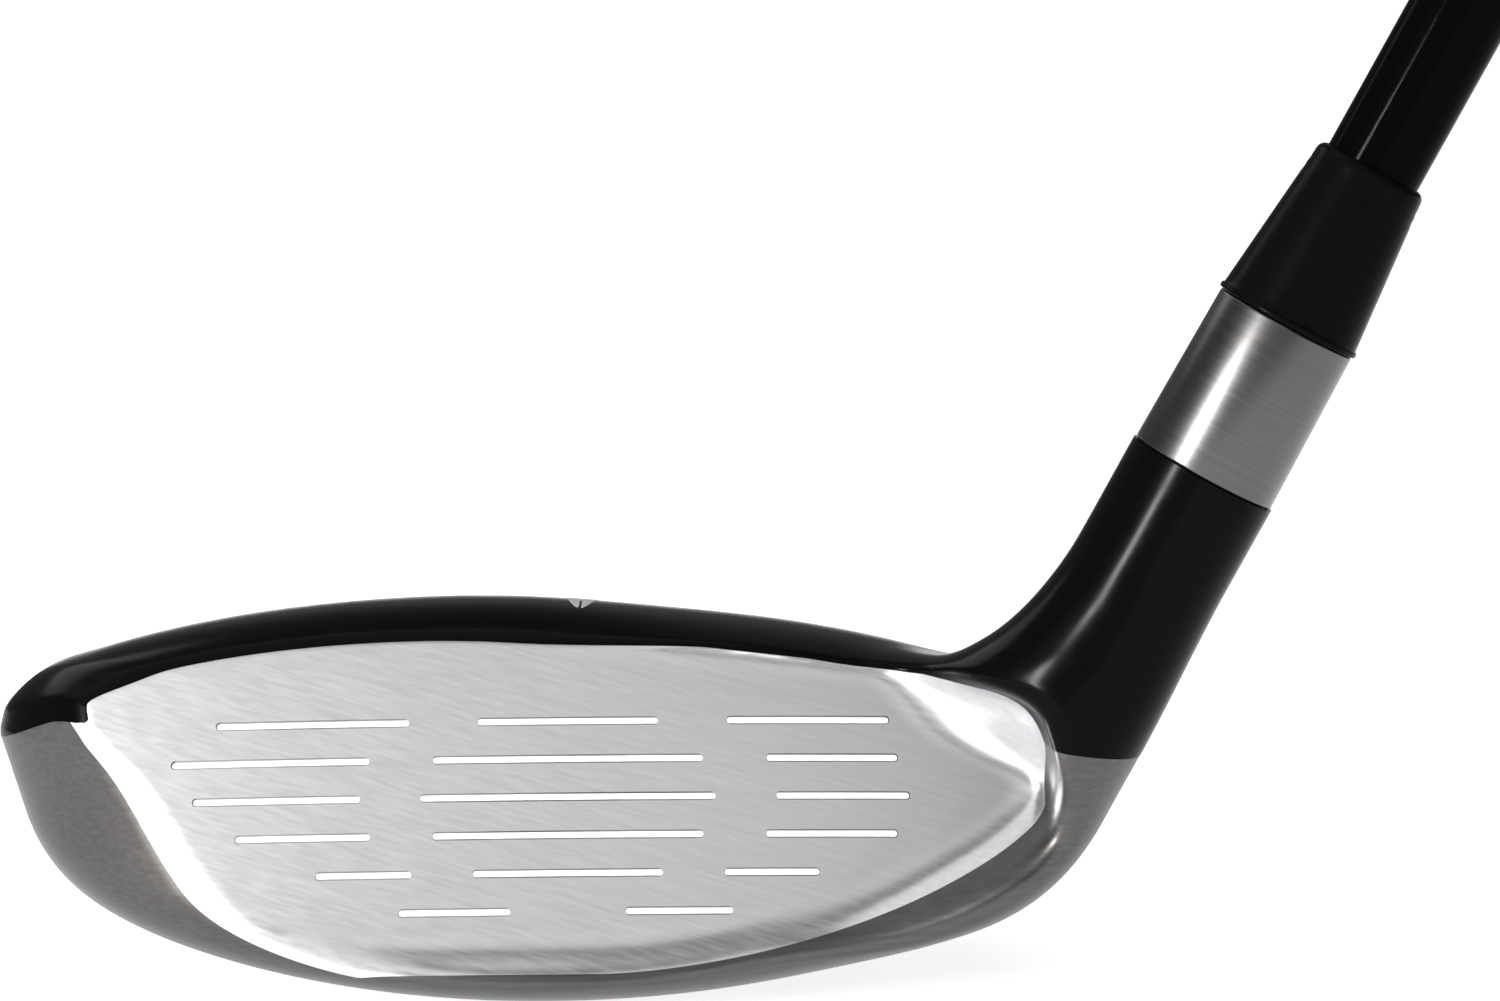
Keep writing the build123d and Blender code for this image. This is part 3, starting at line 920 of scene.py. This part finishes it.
def mark_keep(side):
    """Negative on one half of the arrowhead on the crown."""
    def keep(x, y, z):
        across = side * (x - MARK_X)
        along = np.maximum(y - MARK_TIP_Y, 0)
        outer = across - MARK_SPREAD * np.sqrt(along)
        back = y - MARK_BACK_Y + MARK_SWEEP * across
        return np.maximum(np.maximum(outer, MARK_GAP - across), back)
    return keep


def build_mark(material):
    """The silver arrowhead, raised just above the crown's paint."""
    crown, crown_faces = surface_net(head_metal, MARK_LOW, MARK_HIGH, MARK_CELL)
    pieces = []
    for side in (-1, 1):
        points, triangles, _ = trim(crown, crown_faces, mark_keep(side)(*crown.T))
        points, triangles = compact(points, triangles)
        normals = unit(gradient(head_metal, points))
        pieces.append(thicken(points + normals * MARK_LIFT, triangles, normals, MARK_DEPTH))
    points, faces = joined(pieces)
    new_object("mark", points, faces.tolist(), material, ("alignment_mark",))


# ---------------------------------------------------------------- lathe

UPRIGHT_TO_SHAFT = Matrix.Rotation(pi / 2 - LIE, 4, "Y")


def lathe(name, profile, material, replaced, segments=96, sharp=25):
    """Turns a closed (radius, t) outline, in millimetres, about the shaft's axis."""
    points, faces = [], []
    for radius, t in profile:
        for step in range(segments):
            turn = 2 * pi * step / segments
            points.append(tuple(UPRIGHT_TO_SHAFT @ Vector((radius * cos(turn), radius * sin(turn), t))))
    rows = len(profile)
    for row in range(rows):
        below, above = row * segments, (row + 1) % rows * segments
        for step in range(segments):
            following = (step + 1) % segments
            faces.append((below + step, below + following, above + following, above + step))
    thing = new_object(name, points, faces, material, replaced)
    thing.data.shade_smooth()
    thing.data.set_sharp_from_angle(angle=radians(sharp))


def arc(centre_radius, centre_t, radius, start, end, steps):
    """Profile points round a corner, angles in degrees from outward toward the butt."""
    points = []
    for step in range(steps + 1):
        turn = radians(start + (end - start) * step / steps)
        points.append((centre_radius + radius * cos(turn), centre_t + radius * sin(turn)))
    return points


def build_collar(material):
    """The bare steel collar, whose foot goes down inside the painted neck."""
    bore, foot_radius, ledge_radius, edge = 4.9, 6.6, 6.9, 0.3
    foot, ledge = NECK_TOP_T - 1, NECK_TOP_T + 0.05
    outline = [(bore, foot), (foot_radius, foot), (ledge_radius, ledge)]
    outline += arc(COLLAR_RADIUS - edge, ledge + edge, edge, start=-80, end=0, steps=4)
    outline += arc(COLLAR_TOP_RADIUS - edge, COLLAR_TOP_T - edge, edge, start=0, end=90, steps=4)
    outline.append((bore, COLLAR_TOP_T))
    lathe("collar", outline, material, ("hosel_tube",))


def build_ferrule(material):
    """The tapered ferrule, with a lip round its base and two fine grooves near its top."""
    bore, base_radius, lip_radius, lip_edge = 4.8, 7.0, 7.1, 0.18
    foot_radius, top_radius, top_edge = 7.05, 5.6, 0.9
    base, lip_low, lip_high, foot = (COLLAR_TOP_T + rise for rise in (0.02, 0.2, 0.4, 0.7))
    shoulder = FERRULE_TOP_T - top_edge
    outline = [(bore, base), (base_radius, base)]
    outline += arc(lip_radius, lip_low, lip_edge, start=-90, end=0, steps=3)
    outline += arc(lip_radius, lip_high, lip_edge, start=0, end=90, steps=3)
    outline.append((foot_radius, foot))
    steps, grooved = 30, (26, 28)
    for step in range(1, steps + 1):
        share = step / steps
        radius = foot_radius + (top_radius - foot_radius) * share
        groove = FERRULE_RING if step in grooved else 0
        outline.append((radius - groove, foot + (shoulder - foot) * share))
    outline += arc(top_radius - top_edge, shoulder, top_edge, start=0, end=90, steps=7)
    outline.append((bore, FERRULE_TOP_T))
    lathe("ferrule_body", outline, material, ("ferrule",))


def build_shaft(material, steps=24):
    """The hollow shaft: parallel at the tip and the butt, and tapered between."""
    outline = [(TIP_RADIUS, SHAFT_START_T)]
    for step in range(steps + 1):
        radius = TIP_RADIUS + (BUTT_RADIUS - TIP_RADIUS) * step / steps
        outline.append((radius, TIP_PARALLEL_T + (BUTT_PARALLEL_T - TIP_PARALLEL_T) * step / steps))
    outline.append((BUTT_RADIUS, SHAFT_END_T))
    outline += [(SHAFT_BORE, SHAFT_END_T), (SHAFT_BORE, SHAFT_START_T)]
    lathe("shaft_tube", outline, material, ("shaft",), sharp=40)


# ---------------------------------------------------------------- stage

def look_at(thing, target):
    """Turns a lamp or the camera toward a point."""
    direction = Vector(target) - thing.location
    thing.rotation_euler = direction.to_track_quat("-Z", "Y").to_euler()


def soft_box(name, direction, distance, width, height, brightness):
    """A soft box seen from the head along direction, given by its surface brightness."""
    data = bpy.data.lights.new(name, "AREA")
    data.shape = "RECTANGLE"
    data.size, data.size_y = width, height
    data.energy = brightness * pi * width * height
    lamp = bpy.data.objects.new(name, data)
    bpy.context.collection.objects.link(lamp)
    lamp.location = LIGHT_TARGET + Vector(direction).normalized() * distance
    look_at(lamp, LIGHT_TARGET)


def build_floor():
    """A pale floor that glows, so that it stays pale under any light."""
    material, _, _, shader = new_material("pale_floor")
    shader.inputs["Base Color"].default_value = (FLOOR_GREY, FLOOR_GREY, FLOOR_GREY, 1)
    shader.inputs["Emission Color"].default_value = (1, 1, 1, 1)
    shader.inputs["Emission Strength"].default_value = FLOOR_GLOW
    shader.inputs["Roughness"].default_value = 0.9
    shader.inputs["Specular IOR Level"].default_value = 0.0
    corners = [(FLOOR_REACH * x, FLOOR_REACH * y, 0) for x, y in ((-1, -1), (1, -1), (1, 1), (-1, 1))]
    mesh = bpy.data.meshes.new("floor")
    mesh.from_pydata(corners, [], [(0, 1, 2, 3)])
    mesh.materials.append(material)
    floor = bpy.data.objects.new("floor", mesh)
    floor.location.z = -FLOOR_DROP
    bpy.context.collection.objects.link(floor)


def build_world():
    """A dim white surround."""
    world = bpy.data.worlds.new("studio")
    world.use_nodes = True
    back = world.node_tree.nodes["Background"]
    back.inputs["Color"].default_value = (1, 1, 1, 1)
    back.inputs["Strength"].default_value = WORLD_GLOW
    bpy.context.scene.world = world


def build_camera():
    """The camera in front of the face, a little above it and rolled a little."""
    data = bpy.data.cameras.new("camera")
    data.sensor_width = SENSOR_WIDTH
    data.lens = CAMERA_LENS
    data.clip_start, data.clip_end = 0.01, 20
    camera = bpy.data.objects.new("camera", data)
    bpy.context.collection.objects.link(camera)
    target = Vector((CAMERA_X * MM, 0, CAMERA_Z * MM))
    toward_camera = Vector((0, -cos(CAMERA_ELEVATION), sin(CAMERA_ELEVATION)))
    camera.location = target + CAMERA_DISTANCE * MM * toward_camera
    look_at(camera, target)
    level = Matrix.Translation(camera.location) @ camera.rotation_euler.to_matrix().to_4x4()
    camera.matrix_world = level @ Matrix.Rotation(-CAMERA_ROLL, 4, "Z")
    bpy.context.scene.camera = camera


# ---------------------------------------------------------------- the club

black = gloss_black("crown_gloss", (0.002, 0.002, 0.0022), roughness=0.18, shine=0.045)
ferrule_black = gloss_black("ferrule_plastic", (0.003, 0.003, 0.0033), roughness=0.2, shine=0.02)
shaft_black = gloss_black("shaft_lacquer", (0.0015, 0.0015, 0.0017), roughness=0.08, shine=0.015)
steel = brushed_metal("face_steel", (0.68, 0.68, 0.69), (0.75, 0.75, 0.76),
                      roughness=0.25, angle=radians(-17), grain=3000.0)
satin = brushed_metal("sole_steel", (0.092, 0.088, 0.085), (0.115, 0.111, 0.107),
                      roughness=0.38, angle=radians(4))
# The score lines' floors are the face's steel coloured darker: painted shade down in the slots
shaded_slot_steel = brushed_metal("shaded_slot_steel", (0.30, 0.30, 0.30), (0.36, 0.36, 0.36),
                             roughness=0.4, angle=0.0)
band = turned_metal("collar_steel", (0.105, 0.102, 0.1), (0.122, 0.119, 0.117), roughness=0.3)
silver = plain_paint("mark_paint", (0.6975, 0.6975, 0.6975), (0.75, 0.75, 0.75), roughness=0.35)
white = plain_paint("score_paint", (0.8835, 0.8835, 0.8835), (0.95, 0.95, 0.95), roughness=0.5)
rubber = grained("grip_rubber", (0.012, 0.012, 0.012), (0.0216, 0.0216, 0.0216),
                 roughness=0.6, grain=1500.0, relief=0.00006, spread=0.1, strength=0.6)

head_skin("crown_paint", head_metal, crown_keep, black, ("crown_shell",), CROWN_PAINT_LIFT)
head_skin("sole_metal", head_metal, sole_keep, satin, ("sole_shell",))
head_skin("face_metal", head_metal, face_rim_keep, steel, ("face_plate",))
build_score_margins(steel)
slot_floor_radius, white_radius = SCORE_WIDTH / 2 + SLOT_FLOOR_OVERLAP, WHITE_WIDTH / 2
# Slot floors in darker steel, a painted shade round the white paint
bars("score_floors", slot_floor_radius, -SLOT_FLOOR_BASE, -SLOT_FLOOR_SINK, shaded_slot_steel)
bars("score_lines", white_radius, -WHITE_BASE, -WHITE_SINK, white, ("score_line_paint",))
build_mark(silver)
build_collar(band)
build_ferrule(ferrule_black)
build_shaft(shaft_black)

dress(rubber, "grip_sleeve", "grip_cap")
for name, dark, light, roughness, grain, relief, metallic, node in HIDDEN_LOOKS:
    dress(grained(name, dark, light, roughness, grain, relief, metallic), node)

bpy.context.scene.view_settings.view_transform = "Standard"
build_floor()
build_world()
build_camera()
for light in LIGHTS:
    soft_box(*light)
